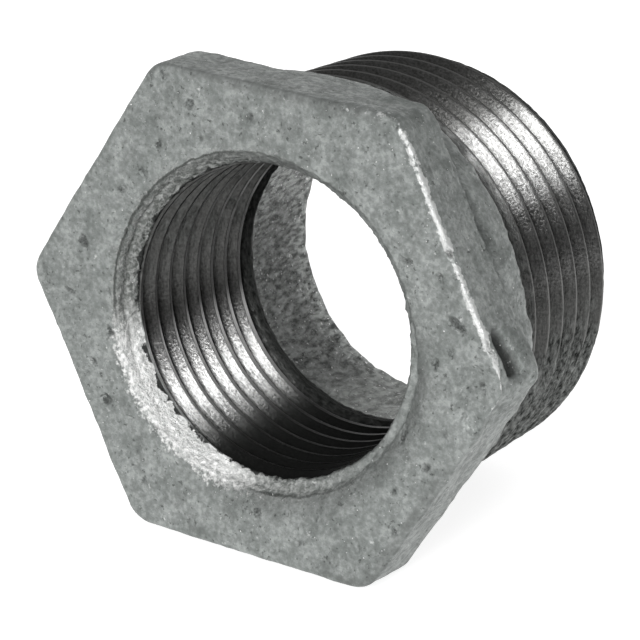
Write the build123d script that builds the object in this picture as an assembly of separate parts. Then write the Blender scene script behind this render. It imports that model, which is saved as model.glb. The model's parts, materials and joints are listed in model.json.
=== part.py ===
from build123d import *
from math import atan, atan2, ceil, cos, degrees, radians, tan
import os

# A hexagon bush for steel pipe, 1 to 3/4 inch, of galvanised malleable cast iron.
# It is one casting: a hexagon head with a round collar behind it, a neck, and a stem
# that carries the tapered outer thread, here with its true helical groove. The bore is
# plain, at the size it is drilled to for the inner thread. It starts in a wide mouth in
# the head's face, and a cast waterway runs on to the stem's end.
# Sizes are in millimetres. Depth is measured along the bush, from the head's face.

# The head, as the caster makes it
across_flats = 36.5
hexagon_height = 5.1
corner_radius = 2.2
head_edge_bevel = 0.4

# The collar behind the hexagon, and how far its rim lies under the flats
collar_drop = 0.3
collar_height = 2.0
collar_edge_bevel = 0.4

# The whole bush, and the plain neck between its collar and its outer thread, which
# lies a little under the thread's root
total_length = 24.5
neck_length = 1.3
neck_drop = 0.2

# The outer thread, 1 inch, tapered 1 in 16 on its diameter, with the flat that its
# crests keep as a share of the pitch
inch = 25.4
turns_per_inch = 11.5
thread_angle = 60.0
crest_flat_share = 0.12
outer_gauge_diameter = 33.228
outer_gauge_length = 10.16
outer_taper = 1 / 16
outer_start_length = 0.7
outer_end_chamfer = 0.9

# The bore for the 3/4 inch inner thread, with the mouth that leads into it
mouth_diameter = 26.4
mouth_depth = 1.6
tapping_diameter = 24.0
inner_thread_length = 13.7

# The cast waterway behind the inner thread, and its worn edge at the stem's end
shoulder_length = 0.5
waterway_diameter = 23.4
waterway_edge_bevel = 0.3

# How far the cut of the groove stands over the thread's crests, how many whole turns it
# runs on beyond each end of the stem, and how far a straight cut runs past an end face
groove_overcut = 0.15
run_on_turns = 1
overcut = 1.0

# Depths, radii and the thread's form that follow from the sizes above
thread_pitch = inch / turns_per_inch
flank_slope = tan(radians(thread_angle / 2))
thread_height = thread_pitch * (1 - crest_flat_share) / 2 / flank_slope
head_depth = hexagon_height + collar_height
collar_radius = across_flats / 2 - collar_drop
stem_start_depth = head_depth + neck_length
chamfer_depth = total_length - outer_end_chamfer
tapping_radius = tapping_diameter / 2
inner_thread_depth = mouth_depth + inner_thread_length
waterway_depth = inner_thread_depth + shoulder_length


def outer_crest_radius(depth):
    """The radius over the crests of the tapered outer thread at one depth."""
    from_gauge_plane = total_length - outer_gauge_length - depth
    return outer_gauge_diameter / 2 + from_gauge_plane * outer_taper / 2


def outer_root_radius(depth):
    """The radius at the bottom of the outer thread's groove at one depth."""
    return outer_crest_radius(depth) - thread_height


def groove_mouth_radius(depth):
    """The radius of the top of the tool that cuts the groove, just over the crests."""
    return outer_crest_radius(depth) + groove_overcut


def turned(*points):
    """A solid of revolution about the bush's axis, from (radius, depth) points."""
    outline = Polyline(*points, close=True)
    return revolve(make_face(Plane.XZ * outline), Axis.Z)


def hexagon_head():
    """The hexagon, with rounded corners and a worn edge around both of its ends."""
    hexagon = RegularPolygon(across_flats / 2, 6, major_radius=False)
    outline = fillet(hexagon.vertices(), corner_radius)
    block = extrude(outline, hexagon_height)
    ends = block.edges().group_by(Axis.Z)
    return chamfer(ends[0] + ends[-1], head_edge_bevel)


def neck_radius():
    """The neck's radius, a little under the root that the outer thread starts with."""
    return outer_root_radius(stem_start_depth) - neck_drop


def collar_and_neck():
    """The round collar, with a worn rim, and the neck that runs in under the thread."""
    inside_head = hexagon_height / 2
    return turned(
        (0, inside_head),
        (collar_radius, inside_head),
        (collar_radius, head_depth - collar_edge_bevel),
        (collar_radius - collar_edge_bevel, head_depth),
        (neck_radius(), head_depth),
        (neck_radius(), stem_start_depth + outer_start_length),
        (0, stem_start_depth + outer_start_length),
    )


def tapered_helix(radius_at, first_depth, turns):
    """A right-hand helix on the stem's taper, as one edge for each of its turns."""
    half_cone = atan(outer_taper / 2)
    depths = [first_depth + turn * thread_pitch for turn in range(turns)]
    return [
        Edge.make_helix(
            thread_pitch / cos(half_cone),
            thread_pitch,
            radius_at(depth),
            center=(0, 0, depth),
            angle=-degrees(half_cone),
        )
        for depth in depths
    ]


def outer_groove():
    """The one V groove that winds along the stem, from before its start to past its end."""
    half_mouth = flank_slope * (thread_height + groove_overcut)
    turns_on_stem = ceil((total_length - stem_start_depth) / thread_pitch)
    turns = run_on_turns + turns_on_stem + run_on_turns
    start = stem_start_depth - run_on_turns * thread_pitch
    lines = [
        tapered_helix(groove_mouth_radius, start - half_mouth, turns),
        tapered_helix(outer_root_radius, start, turns),
        tapered_helix(groove_mouth_radius, start + half_mouth, turns),
    ]
    faces = []
    for line, next_line in zip(lines, lines[1:] + lines[:1]):
        faces += [Face.make_surface_from_curves(*pair) for pair in zip(line, next_line)]
    first_section = [line[0] @ 0 for line in lines]
    last_section = [line[-1] @ 1 for line in lines]
    faces += [Face(Wire.make_polygon(section)) for section in (first_section, last_section)]
    return Solid(Shell(faces))


def threaded_stem():
    """The tapered stem, bevelled where its thread starts and ends, with the groove cut in."""
    full_depth = stem_start_depth + outer_start_length
    end_radius = outer_crest_radius(chamfer_depth) - outer_end_chamfer
    blank = turned(
        (0, stem_start_depth),
        (neck_radius(), stem_start_depth),
        (outer_crest_radius(full_depth), full_depth),
        (outer_crest_radius(chamfer_depth), chamfer_depth),
        (end_radius, total_length),
        (0, total_length),
    )
    return blank - outer_groove()


def bore():
    """What is open through the bush: the mouth, the drilled length and the waterway."""
    return turned(
        (0, -overcut),
        (mouth_diameter / 2, -overcut),
        (mouth_diameter / 2, 0),
        (tapping_radius, mouth_depth),
        (tapping_radius, inner_thread_depth),
        (waterway_diameter / 2, waterway_depth),
        (waterway_diameter / 2, total_length - waterway_edge_bevel),
        (waterway_diameter / 2 + waterway_edge_bevel, total_length),
        (waterway_diameter / 2 + waterway_edge_bevel, total_length + overcut),
        (0, total_length + overcut),
    )


def bush():
    """The whole casting, standing on its head's face with its axis upright."""
    return hexagon_head() + collar_and_neck() + threaded_stem() - bore()


def resting_tilt():
    """How far the stem's end dips, in degrees, when the bush lies on one of its flats.

    The bush then touches the ground with the rear edge of that flat and with the last
    full crest of its thread.
    """
    span = chamfer_depth - (hexagon_height - head_edge_bevel)
    drop = across_flats / 2 - outer_crest_radius(chamfer_depth)
    return degrees(atan2(drop, span))


def laid_down(solid):
    """Lays the upright bush on its side, mouth towards -Y, and gives where that puts it."""
    turn = Rot(X=-90 - resting_tilt())
    box = (turn * solid).bounding_box()
    return Pos(-box.center().X, -box.center().Y, -box.min.Z) * turn


upright_bush = bush()
resting_place = laid_down(upright_bush)
hex_bushing = resting_place * upright_bush

os.makedirs("parts", exist_ok=True)
export_step(hex_bushing, "parts/hex_bushing.step")
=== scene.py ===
import json
from math import atan2, ceil, cos, hypot, pi, radians, sin, sqrt, tan

import bmesh
import bpy
from mathutils import Matrix, Vector, noise


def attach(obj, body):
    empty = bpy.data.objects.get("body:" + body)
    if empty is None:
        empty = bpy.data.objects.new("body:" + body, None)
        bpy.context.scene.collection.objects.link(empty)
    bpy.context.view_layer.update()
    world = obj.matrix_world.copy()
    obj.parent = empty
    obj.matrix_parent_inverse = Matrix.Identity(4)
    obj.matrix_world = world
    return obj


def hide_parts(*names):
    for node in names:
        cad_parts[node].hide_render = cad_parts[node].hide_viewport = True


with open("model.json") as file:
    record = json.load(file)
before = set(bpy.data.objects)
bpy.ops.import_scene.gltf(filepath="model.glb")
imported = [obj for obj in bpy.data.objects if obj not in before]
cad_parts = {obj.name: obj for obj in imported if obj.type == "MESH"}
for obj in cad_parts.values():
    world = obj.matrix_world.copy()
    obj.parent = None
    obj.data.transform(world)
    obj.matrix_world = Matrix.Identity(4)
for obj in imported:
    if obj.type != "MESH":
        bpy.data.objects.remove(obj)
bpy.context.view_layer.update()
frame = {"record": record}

# The hexagon head, with the cone of the mouth in its face and the collar and neck behind
# It is cast in one with the whole bush, of malleable iron dipped in zinc, and the sand of
# the mould left it uneven. All is modelled upright on the head's face, in millimetres.
blank_parts = 12
weld_reach = 0.0005
tolerance = 0.001
across_flats = 36.5
hexagon_height = 5.1
corner_radius = 2.2
edge_rounding = 0.42
rear_rounding = 0.35
mouth_radius = 13.2
mouth_depth = 1.6
tapping_radius = 12.0
lip_rounding = 0.16
collar_radius = 17.95
collar_height = 2.0
collar_rounding = 0.5
neck_radius = 14.8
neck_join_depth = 8.1
ring_gap = 0.1
head_steps = 396
half_flats = across_flats / 2
head_depth = hexagon_height + collar_height


def spun(profile, steps, climb=0.0):
    """Spins a line of (radius, depth) points around the axis, a twelfth at a time."""
    blank = bmesh.new()
    line = [blank.verts.new((radius, 0, depth)) for radius, depth in profile]
    edges = [blank.edges.new(pair) for pair in zip(line, line[1:])]
    part_angle = 2 * pi / blank_parts
    bmesh.ops.spin(
        blank,
        geom=line + edges,
        axis=(0, 0, 1),
        cent=(0, 0, 0),
        dvec=(0, 0, climb / steps),
        angle=part_angle,
        steps=steps // blank_parts,
    )
    first_part = blank.verts[:] + blank.edges[:] + blank.faces[:]
    for place in range(1, blank_parts):
        copied = bmesh.ops.duplicate(blank, geom=first_part)["geom"]
        corners = [item for item in copied if isinstance(item, bmesh.types.BMVert)]
        turn = Matrix.Rotation(place * part_angle, 3, "Z")
        bmesh.ops.rotate(blank, verts=corners, cent=(0, 0, 0), matrix=turn)
        bmesh.ops.translate(blank, verts=corners, vec=(0, 0, climb * place / blank_parts))
    bmesh.ops.remove_doubles(blank, verts=blank.verts, dist=weld_reach)
    return blank


def rounded(radius, depth, size, start, end, rings):
    """Points around part of a worn edge, from one angle to another in degrees."""
    angles = [radians(start + (end - start) * ring / rings) for ring in range(rings + 1)]
    return [(radius + size * cos(angle), depth + size * sin(angle)) for angle in angles]


def between(first, last, rings):
    """The points that divide a straight line of a profile, without its two ends."""
    shares = [ring / rings for ring in range(1, rings)]
    return [
        (first[0] + (last[0] - first[0]) * share, first[1] + (last[1] - first[1]) * share)
        for share in shares
    ]


def outline_reach(angle):
    """How far the hexagon's rounded outline is from the axis, in one direction."""
    from_flat = abs(angle % (pi / 3) - pi / 6)
    from_corner = pi / 6 - from_flat
    centre = (half_flats - corner_radius) / cos(pi / 6)
    tangent = atan2(corner_radius * sin(pi / 6), centre + corner_radius * cos(pi / 6))
    if from_corner > tangent:
        return half_flats / cos(from_flat)
    sideways = centre * sin(from_corner)
    return centre * cos(from_corner) + sqrt(corner_radius**2 - sideways**2)


def drawn_out(radius, depth):
    """How far a ring of the round blank takes the hexagon's outline, from 0 to 1."""
    if depth > hexagon_height - tolerance:
        share = (radius - collar_radius) / (half_flats - collar_radius)
    else:
        share = (radius - mouth_radius) / (half_flats - mouth_radius)
    return max(0, min(1, share))


cone_start = (tapping_radius + ring_gap / 2, mouth_depth)
cone_end = (mouth_radius - ring_gap, 0.14)
lip = [(mouth_radius, 0.04), (mouth_radius + lip_rounding, 0)]
collar_start = (collar_radius, hexagon_height + ring_gap)
front_edge = rounded(half_flats - edge_rounding, edge_rounding, edge_rounding, -90, 0, 4)
rear_edge = rounded(
    half_flats - rear_rounding, hexagon_height - rear_rounding, rear_rounding, 0, 60, 2
)
rear_face = [
    (half_flats - ring_gap, hexagon_height),
    (collar_radius + ring_gap, hexagon_height),
]
collar_edge = rounded(
    collar_radius - collar_rounding, head_depth - collar_rounding, collar_rounding, 0, 90, 3
)
head_profile = (
    [cone_start]
    + between(cone_start, cone_end, 12)
    + [cone_end]
    + lip
    + between(lip[-1], front_edge[0], 26)
    + front_edge
    + between(front_edge[-1], rear_edge[0], 16)
    + rear_edge
    + rear_face
    + [collar_start]
    + between(collar_start, collar_edge[0], 4)
    + collar_edge
    + between(collar_edge[-1], (neck_radius, head_depth), 3)
    + [(neck_radius, head_depth), (neck_radius, neck_join_depth)]
)
head = spun(head_profile, head_steps)
for vertex in head.verts:
    radius = hypot(vertex.co.x, vertex.co.y)
    angle = atan2(vertex.co.y, vertex.co.x)
    if radius > mouth_radius and vertex.co.z <= hexagon_height + tolerance:
        share = drawn_out(radius, vertex.co.z)
        reach = radius + share * (outline_reach(angle) - half_flats)
        vertex.co.x = reach * cos(angle)
        vertex.co.y = reach * sin(angle)

# The outer thread
# A right-hand tapered pipe thread of 11.5 turns an inch, cut on the casting's stem after
# the dip in zinc. It starts in a short run at the neck and ends in a chamfer.
inch = 25.4
outer_turns_per_inch = 11.5
flank_angle = radians(30)
tool_rounding = 0.06
form_turns = (0, 0.052, 0.09, 0.25, 0.41, 0.448, 0.5, 0.552, 0.59, 0.75, 0.91, 0.948)
outer_gauge_radius = 16.614
outer_gauge_length = 10.16
taper = 1 / 16
total_length = 24.5
stem_start_depth = 8.4
outer_start_length = 0.7
outer_end_chamfer = 0.9
outer_steps = 336
outer_pitch = inch / outer_turns_per_inch
rounding_width = tool_rounding * cos(flank_angle)
rounding_rise = tool_rounding * (1 - sin(flank_angle))


def thread_form(turns):
    """The thread's height over its root at one place along its turns, in pitches."""
    from_root = abs((turns + 0.5) % 1 - 0.5)
    from_crest = 0.5 - from_root
    flank = (0.5 - 2 * rounding_width) / tan(flank_angle)
    if from_root < rounding_width:
        return tool_rounding - sqrt(tool_rounding**2 - from_root**2)
    if from_crest < rounding_width:
        fall = tool_rounding - sqrt(tool_rounding**2 - from_crest**2)
        return flank + 2 * rounding_rise - fall
    return rounding_rise + (from_root - rounding_width) / tan(flank_angle)


def outer_crest_radius(depth):
    """The radius over the crests of the tapered outer thread at one depth."""
    from_gauge_plane = total_length - outer_gauge_length - depth
    return outer_gauge_radius + from_gauge_plane * taper / 2


def outer_limit(depth):
    """The radius of the blank that the outer thread is cut into, at one depth."""
    into_start = (depth - stem_start_depth) / outer_start_length
    start = neck_radius + max(0, into_start) * (outer_crest_radius(depth) - neck_radius)
    end = outer_crest_radius(depth) - max(0, depth - (total_length - outer_end_chamfer))
    return min(start, end, outer_crest_radius(depth))


def cut_off(blank, depth, keep):
    """Cuts a threaded blank square to its axis, and keeps its side above or below."""
    bmesh.ops.bisect_plane(
        blank,
        geom=blank.verts[:] + blank.edges[:] + blank.faces[:],
        dist=0.0001,
        plane_co=(0, 0, depth),
        plane_no=(0, 0, keep),
        clear_inner=True,
    )


outer_height = thread_form(0.5) * outer_pitch
last_turn = ceil((total_length - stem_start_depth) / outer_pitch) + 1
outer_profile = [
    (
        neck_radius + thread_form(share) * outer_pitch,
        stem_start_depth + (turn + share) * outer_pitch,
    )
    for turn in range(-2, last_turn)
    for share in form_turns
]
outer_profile.append((neck_radius, stem_start_depth + last_turn * outer_pitch))
stem = spun(outer_profile, outer_steps, climb=outer_pitch)
for vertex in stem.verts:
    depth = vertex.co.z
    radius = hypot(vertex.co.x, vertex.co.y)
    cut = outer_crest_radius(depth) - outer_height + radius - neck_radius
    radius_share = max(neck_radius, min(cut, outer_limit(depth))) / radius
    vertex.co.x *= radius_share
    vertex.co.y *= radius_share
cut_off(stem, neck_join_depth, 1)
cut_off(stem, total_length, -1)

# The inner thread
# A right-hand tapered pipe thread of 14 turns an inch, tapped after the zinc, with flat
# crests. It ends raggedly where the tap stopped, just short of the waterway.
inner_turns_per_inch = 14
inner_gauge_radius = 13.24
inner_steps = 288
tap_end_depth = 15.6
inner_join_depth = 1.62
inner_last_depth = 16.3
crest_inset = 0.08
crest_narrowing = 0.018
run_out_slope = 3
root_end = 0.09
blank_flat_edge = 0.448
flat_edge_band = 0.02
waterway_radius = 11.7
inner_pitch = inch / inner_turns_per_inch
inner_form_turns = (0, 0.052, 0.09, 0.41, 0.448, 0.47, 0.5, 0.53, 0.552, 0.59, 0.91, 0.948)


def inner_crest_radius(depth):
    """The radius of the flat crests, a little inside the drilled hole and more so inwards."""
    return tapping_radius - crest_inset - crest_narrowing * depth


def inner_greatest(depth):
    """The greatest radius of the bore's wall at one depth, over the thread's roots."""
    roots = inner_gauge_radius - depth * taper / 2
    run_out = max(0, depth - tap_end_depth) * run_out_slope
    return max(waterway_radius, roots - run_out)


def inner_form(turns, depth):
    """Where the blank's point goes, in turns and in height over the root, at one depth.

    The blank's crests are sharp. The flat on them is wider the deeper it lies, and the
    points of the blank at its flat's edge go to the edge of that flat.
    """
    from_root = abs((turns + 0.5) % 1 - 0.5)
    full_height = inner_gauge_radius - depth * taper / 2 - inner_crest_radius(depth)
    flank = (full_height / inner_pitch - rounding_rise) * tan(flank_angle)
    flat_edge = min(blank_flat_edge, rounding_width + flank)
    if from_root < root_end:
        return 0, thread_form(from_root) * inner_pitch
    blank_places = (root_end, 0.41, blank_flat_edge, 0.47, 0.5)
    places = (root_end, flat_edge - flat_edge_band, flat_edge, flat_edge + flat_edge_band, 0.5)
    for section in range(4):
        if from_root <= blank_places[section + 1] + 0.0001:
            width = blank_places[section + 1] - blank_places[section]
            share = (from_root - blank_places[section]) / width
            moved = places[section] + share * (places[section + 1] - places[section])
            break
    onwards = 1 if (turns % 1) < 0.5 else -1
    height = min(full_height, thread_form(min(moved, blank_flat_edge)) * inner_pitch)
    return onwards * (moved - from_root), height


inner_profile = [
    (inner_gauge_radius, (turn + share) * inner_pitch)
    for turn in range(-2, ceil(inner_last_depth / inner_pitch) + 1)
    for share in inner_form_turns
]
bore = spun(inner_profile, inner_steps, climb=inner_pitch)
for vertex in bore.verts:
    angle = atan2(vertex.co.y, vertex.co.x)
    depth = vertex.co.z
    shift, height = inner_form(depth / inner_pitch - angle / (2 * pi), depth)
    vertex.co.z += shift * inner_pitch
    roots = inner_gauge_radius - vertex.co.z * taper / 2
    radius_share = min(roots - height, inner_greatest(depth)) / inner_gauge_radius
    vertex.co.x *= radius_share
    vertex.co.y *= radius_share
cut_off(bore, inner_join_depth, 1)
cut_off(bore, inner_last_depth, -1)

# The waterway
# The rest of the way through the bush is as the core of the mould left it, under zinc.
# Its wall is rough, and its edge at the stem's end is worn.
waterway_start = 16.5
waterway_edge = 0.4
end_face_inset = 1.9
end_edge = rounded(
    waterway_radius + waterway_edge, total_length - waterway_edge, waterway_edge, 90, 180, 4
)
end_face_start = (outer_gauge_radius - end_face_inset, total_length)
waterway_profile = (
    [end_face_start]
    + between(end_face_start, end_edge[0], 8)
    + end_edge
    + between(end_edge[-1], (waterway_radius, waterway_start), 18)
    + [(waterway_radius, waterway_start)]
)
waterway = spun(waterway_profile, inner_steps)

# The casting made whole
# The head, the threads and the waterway are one wall, so their open rims are joined. Then sand,
# zinc, tools and use leave their marks, kept at each point for its colours, along with painted
# light and painted shade.
head_metal, stem_metal, bore_metal, waterway_metal = range(4)
inside_bore = 11.0
inside_metal = 14.0
outside_stem = 17.0
rim_reach = 0.12
bush = bmesh.new()
bush_mesh = bpy.data.meshes.new("galvanised_bush")
for place, blank in enumerate((head, stem, bore, waterway)):
    for face in blank.faces:
        face.material_index = place
    blank.to_mesh(bush_mesh)
    blank.free()
    bush.from_mesh(bush_mesh)


def open_rim(depth, least, greatest):
    """The open edges near one depth whose ends lie between two radii."""
    return [
        edge
        for edge in bush.edges
        if edge.is_boundary
        and all(abs(vertex.co.z - depth) < rim_reach for vertex in edge.verts)
        and all(least < hypot(*vertex.co.xy) < greatest for vertex in edge.verts)
    ]


neck_joint = open_rim(neck_join_depth, inside_metal, outside_stem)
stem_end = open_rim(total_length, inside_metal, outside_stem)
bore_end = open_rim(inner_last_depth, inside_bore, inside_metal)
bore_end += open_rim(waterway_start, inside_bore, inside_metal)
mouth_joint = open_rim(mouth_depth, inside_bore, inside_metal)
for rim in (neck_joint, stem_end, bore_end, mouth_joint):
    bmesh.ops.bridge_loops(bush, edges=rim)
bmesh.ops.recalc_face_normals(bush, faces=bush.faces)
bush.normal_update()


def lumps(place, size, turn=0.0):
    """Soft random lumps of one size, from about -1 to 1; each turn gives another set."""
    return noise.noise(place / size + Vector((turn, 7.3 * turn, 3.1 * turn)))


def swell(value, start, end):
    """A smooth rise from 0 at one value to 1 at another."""
    share = max(0, min(1, (value - start) / (end - start)))
    return share * share * (3 - 2 * share)


def lumps_of(place, kinds):
    """Several kinds of lumps added up, each with a height, a size and a turn."""
    return sum(height * lumps(place, size, turn) for height, size, turn in kinds)


def near_turn(turned, middle, width):
    """1 at one direction around the axis in degrees, falling to 0 at a width from it."""
    away = abs((turned - radians(middle) + pi) % (2 * pi) - pi)
    return 1 - swell(away, radians(width) / 2, radians(width))


def on_sides(turned, sides):
    """The most that a direction gets from some sides, each a share, a middle and a width."""
    return max(share * near_turn(turned, middle, width) for share, middle, width in sides)


from_axis = bush.verts.layers.float.new("from_axis")
pitted = bush.verts.layers.float.new("pitted")
dented = bush.verts.layers.float.new("dented")
# Painted light: paler colours on the sides where highlights fall, and on hidden sides of the cut
# iron
painted_light = bush.verts.layers.float.new("painted_light")
ragged = bush.verts.layers.float.new("ragged")
wear_and_highlight = bush.verts.layers.float.new("wear_and_highlight")
# Stains and painted shade: darker colours on the sides where shade falls, and at some torn parts
stains_and_shade = bush.verts.layers.float.new("stains_and_shade")
torn = bush.verts.layers.float.new("torn")
height_share = bush.verts.layers.float.new("height_share")

# Sides of the head, each a middle and a width in degrees, seen from the front and counted from
# the right, anticlockwise. They follow the photograph. Some of them place painted shade and
# painted highlights: by the mouth, along the top edge, on the burr's lower left and along the
# worn edge.
worn_and_highlit_side = (29, 46)
right_facet = (31, 36)
upper_right_corner = (60, 14)
lower_right = (-32, 60)
mouth_painted_shade_side = (-45, 75)
top_edge_painted_shade_side = (88, 36)
darker_low_edge_side = (-45, 34)
stepped_mouth = (172, 45)
mouth_painted_highlight_side = (229, 48)
ragged_mouth = (195, 145)
dipped_mouth = (-50, 75)
dipped_right = (20, 60)
bulging_side = (31, 62)
knocked_front = (-3, 9)
knocked_rear = (4, 7)

# What the mould, the zinc and use did to the head, in millimetres. A kind of lump has a
# height, a size and a turn.
sand_lumps = ((0.08, 3.2, 0), (0.05, 1.1, 0), (0.01, 0.45, 0))
zinc_bead = 0.14
facet_ridge = 0.3
corner_lump = 0.2
low_side_wave = 0.09
bulge_lump = 0.1
burr_lumps = ((0.11, 0.5, 1), (0.08, 0.25, 2))
mouth_step = 0.2
mouth_step_depth = 0.75
face_depth = 0.3
pit_size = 1.3
pit_depth = 0.2
right_corner_start = 17
knock_start = Vector((19.2, -3.3, 1.7))
knock_end = Vector((20.2, -1.2, 2.3))
knock_depth = 0.85
front_knock = 0.45
rear_knock = 0.3
mouth_dip = 0.8
collar_bulge = 0.5
collar_set_back = 0.6
rear_set_forward = 0.5
mouth_painted_shade_width = 2.2


def knock(place):
    """How far the knock at the head's right corner dents the metal, from 0 to 1."""
    line = knock_end - knock_start
    share = max(0, min(1, (place - knock_start).dot(line) / line.dot(line)))
    return 1 - swell((place - knock_start - line * share).length, 0.4, 1.15)


def behind_hexagon(depth, radius):
    """Whether a point is on the collar, behind the hexagon and out from the neck."""
    return depth > hexagon_height + 0.05 and radius > neck_radius + 0.1


def mark_head(vertex, place, radius, turned):
    """Gives a point of the head its wear and edge highlight, its pits, its painted shade and a
    darker low edge, and the burr's painted highlight.
    """
    from_edge = hypot(outline_reach(turned) - radius, place.z)
    # Wear along the right front edge, which also carries a painted highlight
    vertex[wear_and_highlight] = (1 - swell(from_edge, 0.2, 0.65)) * near_turn(turned, *worn_and_highlit_side)
    if place.z < face_depth and radius > mouth_radius:
        vertex[pitted] = swell(lumps(place, pit_size, 12), 0.46, 0.66)
        from_mouth = radius - mouth_radius + 0.8 * lumps(place, 1.5)
        # Painted shade where the face curves into the mouth at its lower right and along the top
        # front edge, and a darker line along the low right edge
        mouth_painted_shade = near_turn(turned, *mouth_painted_shade_side)
        mouth_painted_shade *= 1 - swell(from_mouth, 0, mouth_painted_shade_width)
        top_edge_painted_shade = near_turn(turned, *top_edge_painted_shade_side)
        top_edge_painted_shade *= 1 - swell(from_edge + 0.3 * lumps(place, 1), 0.3, 1.1)
        from_low_line = abs(from_edge - 0.4) + 0.5 * lumps(place, 0.9, 18)
        low_edge_darkening = near_turn(turned, *darker_low_edge_side) * (1 - swell(from_low_line, 0.05, 0.6))
        vertex[stains_and_shade] = max(mouth_painted_shade, 0.9 * top_edge_painted_shade, 0.9 * low_edge_darkening)
    if radius < mouth_radius + 2:
        vertex[painted_light] = near_turn(turned, *mouth_painted_highlight_side)
        vertex[ragged] = near_turn(turned, *ragged_mouth)
    if place.x > right_corner_start:
        vertex[dented] = knock(place)


def bend_head(vertex, depth, radius, turned):
    """Dips the mouth's lower right edge, and draws out the collar's upper right side."""
    if radius < mouth_radius + 3 and depth < mouth_depth:
        share = near_turn(turned, *dipped_mouth) + 0.4 * near_turn(turned, *dipped_right)
        share *= (1 - swell(radius, mouth_radius - 0.6, mouth_radius + 2.6)) ** 2
        vertex.co.z += mouth_dip * share * (1 - swell(depth, 0.2, mouth_depth))
    bulge = near_turn(turned, *bulging_side)
    if behind_hexagon(depth, radius):
        grown = collar_bulge * bulge * swell(radius, neck_radius, collar_radius) / radius
        vertex.co.x += vertex.co.x * grown
        vertex.co.y += vertex.co.y * grown
        vertex.co.z += collar_set_back * bulge * swell(depth, hexagon_height, head_depth)
    elif radius > collar_radius:
        vertex.co.z -= rear_set_forward * bulge * swell(depth, 3.2, hexagon_height)


def head_unevenness(vertex, place, radius, turned):
    """How far sand, zinc, the mouth's cutter and use have moved the head's wall outwards."""
    depth = place.z
    move = lumps_of(place, sand_lumps) + zinc_bead * max(0, lumps(place, 0.8, 5) - 0.35)
    facet_share = near_turn(turned, *right_facet) * swell(depth, 0.5, 1.2)
    move += facet_ridge * facet_share * max(0, abs(lumps(place, 0.7, 17)) - 0.25)
    corner_share = near_turn(turned, *upper_right_corner) * swell(radius, 17, 19)
    move += corner_lump * corner_share * lumps(place, 0.9, 14)
    low_share = near_turn(turned, *lower_right) * swell(radius, 14, 16)
    move += low_side_wave * low_share * lumps(place, 2.2, 15)
    move -= pit_depth * vertex[pitted]
    if radius < mouth_radius + 0.3 and depth < mouth_depth + 0.1:
        move += lumps_of(place, burr_lumps)
        from_step = abs(depth - mouth_step_depth + 0.15 * lumps(place, 2))
        step = 1 - swell(from_step, 0.0, 0.28)
        move -= mouth_step * step * near_turn(turned, *stepped_mouth)
    if place.x > right_corner_start:
        move -= knock_depth * vertex[dented]
        move -= front_knock * near_turn(turned, *knocked_front) * (1 - swell(depth, 0.6, 3))
        move += rear_knock * near_turn(turned, *knocked_rear) * swell(depth, 2.8, 4.6)
    bulge = bulge_lump * near_turn(turned, *bulging_side) * lumps(place, 1.1, 3)
    if behind_hexagon(depth, radius):
        move += bulge
    elif radius > collar_radius:
        move += bulge * swell(depth, 1.0, 2.5)
    return move


# Sides of the stem, the bore and the waterway, counted in the same way; in the lists each side
# has its share first. The bright sides are painted light and the stained ones painted shade;
# they follow the bright and dark bands of the photograph, and the last bright one of the stem
# and of the bore is on a hidden side.
stem_painted_shade_side = (-1, 14)
stem_painted_light_sides = ((0.7, 46, 18), (0.3, 22, 15), (0.85, 205, 80))
patchy_bore = (130, 60)
bore_painted_shade_sides = ((1, 290, 75), (0.3, 130, 60))
bore_painted_light_sides = ((1, 222, 30), (0.5, 30, 70))
waterway_painted_shade_side = (212, 60)
waterway_painted_light_side = (283, 48)
waterway_lumps = ((0.12, 1.2, 0), (0.08, 0.5, 0))
cut_grain_size = 0.5
stem_grain = 0.006
stem_tear = 0.05
bore_grain = 0.004
bore_tear = 0.08


def mark_stem(vertex, place, turned):
    """Gives a point of the outer thread its height, tears and stains, its painted shade and its
    painted light.
    """
    depth = place.z
    radius = hypot(place.x, place.y)
    vertex[height_share] = (radius - outer_crest_radius(depth)) / outer_height + 1
    low = 1 - swell(turned + 0.25 * lumps(place, 1.5, 6), -0.2, 0.05)
    start = 1 - swell(depth + 0.9 * lumps(place, 1.0, 7), 9.2, 12.6)
    from_end = total_length - depth - 0.7 * lumps(place, 0.6, 7)
    end = 1 - swell(from_end, 1.1, 1.6)
    vertex[torn] = max(low * swell(turned, -1.7, -1.4), start, end)
    # Darker at the run-in by the collar, partly torn metal and partly the collar's painted
    # shadow; darker at the torn end, and painted shade on one side
    run_in = 1 - swell(depth + 0.5 * lumps(place, 1.0, 7), 9.6, 11.4)
    vertex[stains_and_shade] = max(run_in, 0.7 * end, 0.25 * near_turn(turned, *stem_painted_shade_side))
    vertex[painted_light] = on_sides(turned, stem_painted_light_sides)


def mark_bore(vertex, place, turned):
    """Gives a point of the inner thread its height and tears, its painted shade and its painted
    light.
    """
    depth = place.z
    roots = inner_gauge_radius - depth * taper / 2
    crests = inner_crest_radius(depth)
    vertex[height_share] = (roots - hypot(place.x, place.y)) / (roots - crests)
    end = swell(depth + 0.6 * lumps(place, 0.9, 9), 14.9, 15.9)
    patches = near_turn(turned, *patchy_bore) * swell(lumps(place, 1.6, 11), -0.1, 0.3)
    vertex[torn] = max(end, 0.4 * patches)
    # Painted shade at the end of the tapping, on the lower side and on the upper left; painted
    # light on the bright band and on a hidden side
    vertex[stains_and_shade] = max(swell(depth, 15.2, 15.8), on_sides(turned, bore_painted_shade_sides))
    vertex[painted_light] = on_sides(turned, bore_painted_light_sides)


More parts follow.
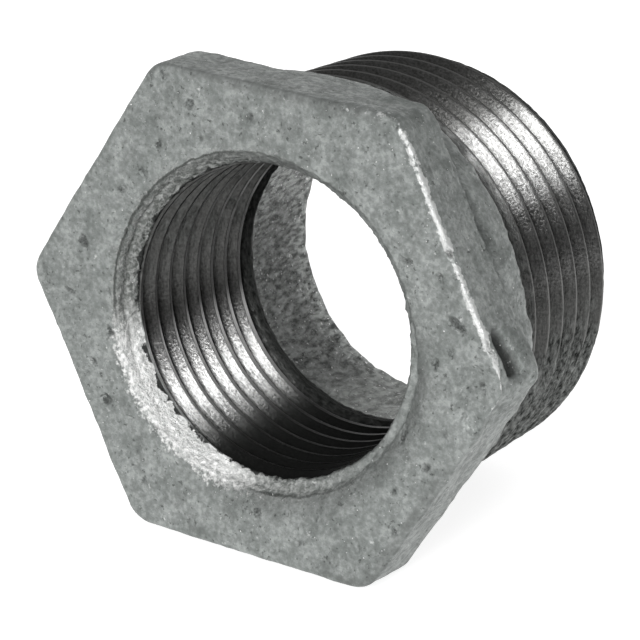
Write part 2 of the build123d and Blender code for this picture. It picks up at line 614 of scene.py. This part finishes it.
for vertex in bush.verts:
    place = vertex.co.copy()
    radius = hypot(place.x, place.y)
    turned = atan2(-place.y, place.x)
    metal = vertex.link_faces[0].material_index
    vertex[from_axis] = radius
    move = 0.0
    if metal == head_metal:
        mark_head(vertex, place, radius, turned)
        bend_head(vertex, place.z, radius, turned)
        move = head_unevenness(vertex, place, radius, turned)
    elif metal == stem_metal:
        mark_stem(vertex, place, turned)
        move = (stem_grain + stem_tear * vertex[torn]) * lumps(place, cut_grain_size, 8)
    elif metal == bore_metal:
        mark_bore(vertex, place, turned)
        move = (bore_grain + bore_tear * vertex[torn]) * lumps(place, cut_grain_size, 10)
    elif metal == waterway_metal and radius < waterway_radius + 1:
        # Painted shade on one side, away from the stem's end, and painted light low down
        vertex[stains_and_shade] = near_turn(turned, *waterway_painted_shade_side) * (1 - swell(place.z, 21, 24))
        vertex[painted_light] = near_turn(turned, *waterway_painted_light_side)
        move = lumps_of(place, waterway_lumps)
    vertex.co += vertex.normal * move

mounts = {mount["name"]: mount for mount in frame["record"]["mounts"]}
inner_thread_length = 13.7
thread_middle_depth = mouth_depth + inner_thread_length / 2
millimetre = 0.001
out_of_mouth = Vector(mounts["inner_thread"]["axis"])
upwards = Vector(mounts["spanner_flat"]["axis"])
laid_down = Matrix((Vector((1, 0, 0)), -upwards, -out_of_mouth)).transposed()
placed = laid_down.to_4x4() @ Matrix.Scale(millimetre, 4)
thread_middle = Vector(mounts["inner_thread"]["pos_m"])
placed.translation = thread_middle + out_of_mouth * thread_middle_depth * millimetre
bmesh.ops.transform(bush, matrix=placed, verts=bush.verts)
bush.to_mesh(bush_mesh)
bush.free()
bush_mesh.shade_smooth()
galvanised_bush = bpy.data.objects.new("galvanised_bush", bush_mesh)
bpy.context.scene.collection.objects.link(galvanised_bush)
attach(galvanised_bush, "root")
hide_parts("hex_bushing")


def in_millimetres(tree, stretch=(1, 1, 1)):
    """The place on the bush in millimetres, turned so that the bush's axis is along Y."""
    place = tree.nodes.new("ShaderNodeTexCoord")
    turned = tree.nodes.new("ShaderNodeMapping")
    turned.inputs["Rotation"].default_value = (-atan2(out_of_mouth.z, out_of_mouth.y) + pi, 0, 0)
    sized = tree.nodes.new("ShaderNodeMapping")
    sized.inputs["Scale"].default_value = [share / millimetre for share in stretch]
    tree.links.new(place.outputs["Object"], turned.inputs["Vector"])
    tree.links.new(turned.outputs["Vector"], sized.inputs["Vector"])
    return sized.outputs["Vector"]


def ramp(tree, value, start, end, first=0, last=1):
    """A number that goes from one level to another while a value goes between two."""
    spread = tree.nodes.new("ShaderNodeMapRange")
    spread.inputs["From Min"].default_value = start
    spread.inputs["From Max"].default_value = end
    spread.inputs["To Min"].default_value = first
    spread.inputs["To Max"].default_value = last
    tree.links.new(value, spread.inputs["Value"])
    return spread.outputs["Result"]


def speckle(tree, vector, scale, detail, start, end):
    """A noise of one grain, spread so that it goes from 0 at one level to 1 at another."""
    grain = tree.nodes.new("ShaderNodeTexNoise")
    grain.inputs["Scale"].default_value = scale
    grain.inputs["Detail"].default_value = detail
    grain.inputs["Roughness"].default_value = 0.6
    tree.links.new(vector, grain.inputs["Vector"])
    return ramp(tree, grain.outputs["Fac"], start, end)


def blended(tree, share, first, second):
    """A colour between two others; each may be a colour's numbers or a node's output.

    The Mix node's sockets for colours are its inputs 6 and 7 and its output 2.
    """
    mix = tree.nodes.new("ShaderNodeMix")
    mix.data_type = "RGBA"
    for socket, colour in zip(mix.inputs[6:8], (first, second)):
        if isinstance(colour, tuple):
            socket.default_value = (*colour, 1)
        else:
            tree.links.new(colour, socket)
    tree.links.new(share, mix.inputs["Factor"])
    return mix.outputs[2]


def worked_out(tree, operation, *values):
    """The result of a sum; each value may be a number or a node's output."""
    step = tree.nodes.new("ShaderNodeMath")
    step.operation = operation
    for socket, value in zip(step.inputs, values):
        if isinstance(value, (int, float)):
            socket.default_value = value
        else:
            tree.links.new(value, socket)
    return step.outputs["Value"]


def tinted(tree, share, amount, colour, tint):
    """A colour with some of another one in it, by a share and by how much of it counts."""
    return blended(tree, worked_out(tree, "MULTIPLY", share, amount), colour, tint)


def own_value(tree, name):
    """A value that the mesh carries at each of its points."""
    value = tree.nodes.new("ShaderNodeAttribute")
    value.attribute_name = name
    return value.outputs["Fac"]


def new_group(name, outputs):
    """An empty shader node group with the outputs named, and its output node."""
    group = bpy.data.node_groups.new(name, "ShaderNodeTree")
    for output in outputs:
        group.interface.new_socket(output, in_out="OUTPUT", socket_type="NodeSocketFloat")
    return group, group.nodes.new("NodeGroupOutput")


# The zinc's grain: soft patches, a fine mottle, dark specks and bright crystals
zinc_relief = 0.00005
cut_relief = 0.000012
grain, grain_out = new_group("zinc_grain", ("Patches", "Mottle", "Specks", "Crystals", "Height"))
grain_place = in_millimetres(grain)
patches = speckle(grain, grain_place, 0.42, 5, 0.34, 0.66)
mottle = speckle(grain, grain_place, 2.4, 9, 0.36, 0.64)
specks = speckle(grain, grain_place, 2.6, 8, 0.61, 0.67)
crystals = speckle(grain, grain_place, 4.6, 1, 0.75, 0.79)
fine = speckle(grain, grain_place, 3.4, 6, 0.25, 0.75)
height = worked_out(grain, "MULTIPLY_ADD", specks, -0.7, fine)
height = worked_out(grain, "MULTIPLY_ADD", crystals, 0.5, height)
grain.links.new(patches, grain_out.inputs["Patches"])
grain.links.new(mottle, grain_out.inputs["Mottle"])
grain.links.new(specks, grain_out.inputs["Specks"])
grain.links.new(crystals, grain_out.inputs["Crystals"])
grain.links.new(height, grain_out.inputs["Height"])

# The tool's marks: fine streaks around the bush's axis, and the tears across them
marks, marks_out = new_group("tool_marks", ("Streaks", "Tears", "Height"))
streaks = speckle(marks, in_millimetres(marks, (0.9, 9, 0.9)), 1.3, 8, 0.34, 0.66)
glints = speckle(marks, in_millimetres(marks, (1, 1.6, 1)), 4.5, 4, 0.38, 0.62)
glint_excess = worked_out(marks, "SUBTRACT", glints, streaks)
streaks = worked_out(marks, "MULTIPLY_ADD", glint_excess, 0.55, streaks)
tears = speckle(marks, in_millimetres(marks, (1.3, 6, 1.3)), 1.3, 9, 0.36, 0.64)
tear_height = worked_out(marks, "MULTIPLY", tears, own_value(marks, "torn"))
height = worked_out(marks, "MULTIPLY_ADD", tear_height, 6, streaks)
marks.links.new(streaks, marks_out.inputs["Streaks"])
marks.links.new(tears, marks_out.inputs["Tears"])
marks.links.new(height, marks_out.inputs["Height"])


def new_metal(name, group, metallic):
    """A material of the bush with one node group in it."""
    material = bpy.data.materials.new(name)
    material.use_nodes = True
    bush_mesh.materials.append(material)
    tree = material.node_tree
    shader = tree.nodes["Principled BSDF"]
    shader.inputs["Metallic"].default_value = metallic
    effect = tree.nodes.new("ShaderNodeGroup")
    effect.node_tree = group
    return tree, shader, effect.outputs


def raised(tree, shader, height, distance):
    """Gives a material a bump from a height, whose full range is a distance in metres."""
    bump = tree.nodes.new("ShaderNodeBump")
    bump.inputs["Strength"].default_value = 1
    bump.inputs["Distance"].default_value = distance
    tree.links.new(height, bump.inputs["Height"])
    tree.links.new(bump.outputs["Normal"], shader.inputs["Normal"])


# Zinc on the head: mottled grey, with casting pits, painted shade by the mouth and along the top
# edge, a darker low edge, a ragged burr around the cone of the mouth whose pale lower left is a
# painted highlight, a painted shadow along its rim and in the knock, and a worn edge on the
# right, pale partly from wear and partly as a painted highlight
tree, shader, zinc = new_metal("zinc_on_casting", grain, 0.6)
place = in_millimetres(tree)
colour = blended(tree, zinc["Patches"], (0.22, 0.238, 0.228), (0.37, 0.39, 0.379))
smudges = speckle(tree, in_millimetres(tree, (1, 1, 0.7)), 0.9, 7, 0.52, 0.7)
colour = tinted(tree, smudges, 0.55, colour, (0.11, 0.12, 0.113))
dark_mottle = ramp(tree, zinc["Mottle"], 0, 0.8, 0.5, 0)
colour = blended(tree, dark_mottle, colour, (0.13, 0.14, 0.133))
light_mottle = ramp(tree, zinc["Mottle"], 0.6, 1, 0, 0.16)
colour = blended(tree, light_mottle, colour, (0.55, 0.56, 0.55))
colour = tinted(tree, zinc["Specks"], 0.7, colour, (0.06, 0.065, 0.06))
rags = speckle(tree, place, 1.1, 7, 0, 1)
grit = speckle(tree, place, 2.8, 5, 0.38, 0.62)
ragged_radius = worked_out(tree, "MULTIPLY_ADD", rags, 1.6, own_value(tree, "from_axis"))
spread_burr = worked_out(tree, "MULTIPLY_ADD", own_value(tree, "painted_light"), -0.4, ragged_radius)
spread_burr = worked_out(tree, "MULTIPLY_ADD", grit, -0.8, spread_burr)
in_mouth = ramp(tree, spread_burr, mouth_radius + 0.75, mouth_radius + 0.1)
ragged_here = own_value(tree, "ragged")
in_mouth = worked_out(tree, "MULTIPLY", in_mouth, ragged_here)
burr_colour = blended(tree, grit, (0.13, 0.14, 0.13), (0.42, 0.43, 0.42))
# Painted highlight: the burr is near white at its lower left, where the light falls on the cone
burr_painted_highlight = blended(tree, grit, (0.68, 0.69, 0.68), (1.0, 1.0, 0.99))
burr_colour = blended(tree, own_value(tree, "painted_light"), burr_colour, burr_painted_highlight)
colour = blended(tree, in_mouth, colour, burr_colour)
# Painted shadow: a thin dark line along the mouth's rim, left out where the burr has its painted
# highlight
rim_painted_shadow = worked_out(tree, "MULTIPLY_ADD", rags, 0.5, own_value(tree, "from_axis"))
rim_painted_shadow = worked_out(tree, "SUBTRACT", rim_painted_shadow, mouth_radius + 0.25)
rim_painted_shadow = ramp(tree, worked_out(tree, "ABSOLUTE", rim_painted_shadow), 0.13, 0.05)
outside_painted_light = ramp(tree, own_value(tree, "painted_light"), 0, 0.5, 0.8, 0)
dull_and_ragged = worked_out(tree, "MULTIPLY", outside_painted_light, ragged_here)
colour = tinted(tree, rim_painted_shadow, dull_and_ragged, colour, (0.045, 0.05, 0.045))
inner_line = ramp(tree, ragged_radius, tapping_radius + 0.93, tapping_radius + 0.85)
colour = tinted(tree, inner_line, ragged_here, colour, (0.04, 0.042, 0.04))
# Painted shadow in the knock at the right corner
dent_painted_shadow = ramp(tree, own_value(tree, "dented"), 0.25, 0.8, 0, 0.88)
colour = blended(tree, dent_painted_shadow, colour, (0.035, 0.037, 0.035))
# Painted shade by the mouth's lower right and along the top edge, and a darker line along the
# low right edge
colour = tinted(tree, own_value(tree, "stains_and_shade"), 0.45, colour, (0.12, 0.125, 0.12))
# The worn edge on the right: pale partly from wear and partly as a painted highlight, and a
# little smoother from wear
worn_edge_and_highlight = worked_out(tree, "MULTIPLY_ADD", rags, 2.8, own_value(tree, "wear_and_highlight"))
worn_edge_and_highlight = worked_out(tree, "MULTIPLY_ADD", grit, 0.5, worn_edge_and_highlight)
worn_edge_and_highlight = ramp(tree, worn_edge_and_highlight, 2.2, 2.5, 0, 0.85)
colour = blended(tree, worn_edge_and_highlight, colour, (0.7, 0.71, 0.7))
pit_rags = speckle(tree, place, 2.2, 5, 0.4, 0.6)
in_pit = worked_out(tree, "MULTIPLY", pit_rags, own_value(tree, "pitted"))
colour = tinted(tree, in_pit, 0.6, colour, (0.06, 0.063, 0.06))
colour = blended(tree, zinc["Crystals"], colour, (0.9, 0.9, 0.9))
tree.links.new(colour, shader.inputs["Base Color"])
roughness = ramp(tree, zinc["Mottle"], 0, 1, 0.55, 0.4)
roughness = worked_out(tree, "MULTIPLY_ADD", worn_edge_and_highlight, -0.12, roughness)
tree.links.new(roughness, shader.inputs["Roughness"])
height = worked_out(tree, "MULTIPLY_ADD", in_pit, -4, zinc["Height"])
burr_height = worked_out(tree, "MULTIPLY", grit, in_mouth)
height = worked_out(tree, "MULTIPLY_ADD", burr_height, 1.2, height)
raised(tree, shader, height, zinc_relief)


def cut_iron(name, crest_start, crest_painted_tone, crest_painted_highlight):
    """Bare iron that a threading tool has cut: streaked flanks, torn parts, stains and painted
    shade.

    Its colours are darker than clean iron as painted shade, with painted light on the sides that
    the bush's points mark as lit, painted shade in the roots and painted tones on the crests, so
    they take a share in the dark and bright bands that its threads show.
    """
    tree, shader, cut = new_metal(name, marks, 1)
    torn_here = own_value(tree, "torn")
    painted_light_here = own_value(tree, "painted_light")
    # Painted shade: the streaked colours are far darker than clean iron; the paler ones are
    # painted light on the bright bands and on hidden sides
    painted_light_colour = blended(tree, cut["Streaks"], (0.1, 0.1, 0.098), (0.4, 0.4, 0.395))
    shade = blended(tree, cut["Streaks"], (0.045, 0.045, 0.043), (0.12, 0.12, 0.117))
    shade = blended(tree, painted_light_here, shade, painted_light_colour)
    tears = blended(tree, cut["Tears"], (0.03, 0.032, 0.03), (0.31, 0.32, 0.31))
    shade = blended(tree, torn_here, shade, tears)
    # Stains, and painted shade on the dark sides
    stain_and_shade = worked_out(tree, "MULTIPLY", own_value(tree, "stains_and_shade"), 0.85)
    shade = blended(tree, stain_and_shade, shade, (0.02, 0.021, 0.02))
    height_here = own_value(tree, "height_share")
    # Painted shade towards the roots, where the crests in front hide them
    root_painted_shade = ramp(tree, height_here, 0.3, 0.5, 0.7, 0)
    shade = blended(tree, root_painted_shade, shade, (0.035, 0.035, 0.034))
    # Painted tone on the crests, with a painted highlight on the bright sides
    at_crest = ramp(tree, height_here, crest_start, 1)
    whole = worked_out(tree, "SUBTRACT", 1, worked_out(tree, "MAXIMUM", torn_here, stain_and_shade))
    at_crest = worked_out(tree, "MULTIPLY", at_crest, whole)
    crest_tone_here = blended(tree, painted_light_here, crest_painted_tone, crest_painted_highlight)
    shade = blended(tree, at_crest, shade, crest_tone_here)
    tree.links.new(shade, shader.inputs["Base Color"])
    tree.links.new(ramp(tree, torn_here, 0, 1, 0.31, 0.6), shader.inputs["Roughness"])
    around = tree.nodes.new("ShaderNodeTangent")
    around.direction_type = "RADIAL"
    around.axis = "Y"
    tree.links.new(around.outputs["Tangent"], shader.inputs["Tangent"])
    shader.inputs["Anisotropic"].default_value = 0.7
    shader.inputs["Anisotropic Rotation"].default_value = 0.25
    raised(tree, shader, cut["Height"], cut_relief)


# Outer crests pale, partly scuffed and partly a painted highlight; inner crests dark as painted
# shade, and pale on the bright band as a painted highlight
cut_iron("cut_outer_thread", 0.95, (0.22, 0.22, 0.215), (0.4, 0.4, 0.395))
cut_iron("cut_inner_thread", 0.98, (0.035, 0.035, 0.034), (0.5, 0.5, 0.495))

# Zinc in the waterway: darker and rougher than on the head, in flakes and pits
tree, shader, zinc = new_metal("zinc_in_waterway", grain, 0.6)
flakes = speckle(tree, in_millimetres(tree, (1.2, 0.7, 1.6)), 1.5, 8, 0.38, 0.62)
colour = blended(tree, flakes, (0.08, 0.085, 0.08), (0.52, 0.54, 0.525))
sparkles = speckle(tree, in_millimetres(tree), 3.1, 1, 0.695, 0.725)
colour = blended(tree, sparkles, colour, (1.0, 1.0, 1.0))
colour = blended(tree, zinc["Specks"], colour, (0.03, 0.03, 0.03))
colour = blended(tree, zinc["Crystals"], colour, (0.95, 0.95, 0.95))
# Painted shade on one side, away from the stem's end, and painted light low down
colour = tinted(tree, own_value(tree, "stains_and_shade"), 0.5, colour, (0.03, 0.031, 0.03))
colour = tinted(tree, own_value(tree, "painted_light"), 0.3, colour, (0.5, 0.52, 0.5))
tree.links.new(colour, shader.inputs["Base Color"])
shader.inputs["Roughness"].default_value = 0.45
height = worked_out(tree, "MULTIPLY_ADD", flakes, 2, zinc["Height"])
raised(tree, shader, height, zinc_relief)

# The floor
# A plain white studio floor. It looks white to the camera and in the metal, and it still
# keeps the bush's shadow.
floor_size = 0.35
floor_shade = 0.5
floor_roughness = 0.9
floor_glow = 0.84
floor_mesh = bpy.data.meshes.new("floor")
floor_grid = bmesh.new()
bmesh.ops.create_grid(floor_grid, x_segments=1, y_segments=1, size=floor_size)
floor_grid.to_mesh(floor_mesh)
floor_grid.free()
floor = bpy.data.objects.new("floor", floor_mesh)
bpy.context.scene.collection.objects.link(floor)
floor_paint = bpy.data.materials.new("floor_paint")
floor_paint.use_nodes = True
floor_tree = floor_paint.node_tree
floor_shader = floor_tree.nodes["Principled BSDF"]
floor_shader.inputs["Base Color"].default_value = (floor_shade, floor_shade, floor_shade, 1)
floor_shader.inputs["Roughness"].default_value = floor_roughness
floor_shader.inputs["Emission Color"].default_value = (1, 1, 1, 1)
rays = floor_tree.nodes.new("ShaderNodeLightPath").outputs
seen = worked_out(floor_tree, "MAXIMUM", rays["Is Camera Ray"], rays["Is Glossy Ray"])
glow = worked_out(floor_tree, "MULTIPLY", seen, floor_glow)
floor_tree.links.new(glow, floor_shader.inputs["Emission Strength"])
floor_mesh.materials.append(floor_paint)

# The camera
# It looks down past the bush's mouth, along the line of the photograph, through a long
# lens from a quarter of a metre away.
camera_turn = radians(32.955)
camera_height = radians(24.398)
camera_distance = 0.2571
camera_lens = 196.9
nearest_shown = 0.01
looked_at = Vector((0.003594, -0.009455, 0.019131))


def direction_at(turn, height):
    """The direction that is turned from the front and raised, each by an angle."""
    return Vector((sin(turn) * cos(height), -cos(turn) * cos(height), sin(height)))


towards_camera = direction_at(camera_turn, camera_height)
camera = bpy.data.objects.new("camera", bpy.data.cameras.new("camera"))
camera.data.lens = camera_lens
camera.data.clip_start = nearest_shown
camera.location = looked_at + towards_camera * camera_distance
camera.rotation_euler = towards_camera.to_track_quat("Z", "Y").to_euler()
bpy.context.scene.collection.objects.link(camera)
bpy.context.scene.camera = camera

# The light
# One soft box stands above the camera and left of it. The room is white to the camera,
# and the metal sees it grey overhead and pale behind the bush.
room = bpy.data.worlds.new("room")
room.use_nodes = True
bpy.context.scene.world = room
room_tree = room.node_tree


def facing(tree, direction, towards, start, end, first, last):
    """A number that changes with how far a direction is turned towards another one."""
    turned = tree.nodes.new("ShaderNodeVectorMath")
    turned.operation = "DOT_PRODUCT"
    turned.inputs[1].default_value = towards
    tree.links.new(direction, turned.inputs[0])
    return ramp(tree, turned.outputs["Value"], start, end, first, last)


direction = room_tree.nodes.new("ShaderNodeTexCoord").outputs["Generated"]
straight_up = (0, 0, 1)
behind = (-sin(camera_turn), cos(camera_turn), 0)
upper_left_front = (-0.55, -0.6, 0.58)
pale_low = facing(room_tree, direction, straight_up, 0.45, 0.1, 0, 1)
pale_behind = facing(room_tree, direction, behind, -0.2, 0.4, 0, 0.88)
pale = worked_out(room_tree, "MULTIPLY", pale_low, pale_behind)
overhead = facing(room_tree, direction, straight_up, 0.2, 0.9, 0.15, 0.42)
in_metal = worked_out(room_tree, "ADD", pale, overhead)
on_dull = facing(room_tree, direction, upper_left_front, -1, 1, 0.25, 0.72)
rays = room_tree.nodes.new("ShaderNodeLightPath").outputs
for_metal = worked_out(room_tree, "MULTIPLY", in_metal, rays["Is Glossy Ray"])
is_dull = worked_out(room_tree, "SUBTRACT", 1, rays["Is Glossy Ray"])
strength = worked_out(room_tree, "MULTIPLY_ADD", on_dull, is_dull, for_metal)
strength = worked_out(room_tree, "MAXIMUM", strength, rays["Is Camera Ray"])
room_light = room_tree.nodes["Background"]
room_light.inputs["Color"].default_value = (1, 1, 1, 1)
room_tree.links.new(strength, room_light.inputs["Strength"])

lamp_turn = radians(16)
lamp_height = radians(34)
lamp_distance = 0.9
lamp_size = 0.3
lamp_power = 5.4
towards_lamp = direction_at(lamp_turn, lamp_height)
soft_box = bpy.data.objects.new("soft_box", bpy.data.lights.new("soft_box", "AREA"))
soft_box.data.shape = "RECTANGLE"
soft_box.data.size = lamp_size
soft_box.data.size_y = lamp_size
soft_box.data.energy = lamp_power
soft_box.location = looked_at + towards_lamp * lamp_distance
soft_box.rotation_euler = towards_lamp.to_track_quat("Z", "Y").to_euler()
bpy.context.scene.collection.objects.link(soft_box)

bpy.context.scene.view_settings.view_transform = "Standard"
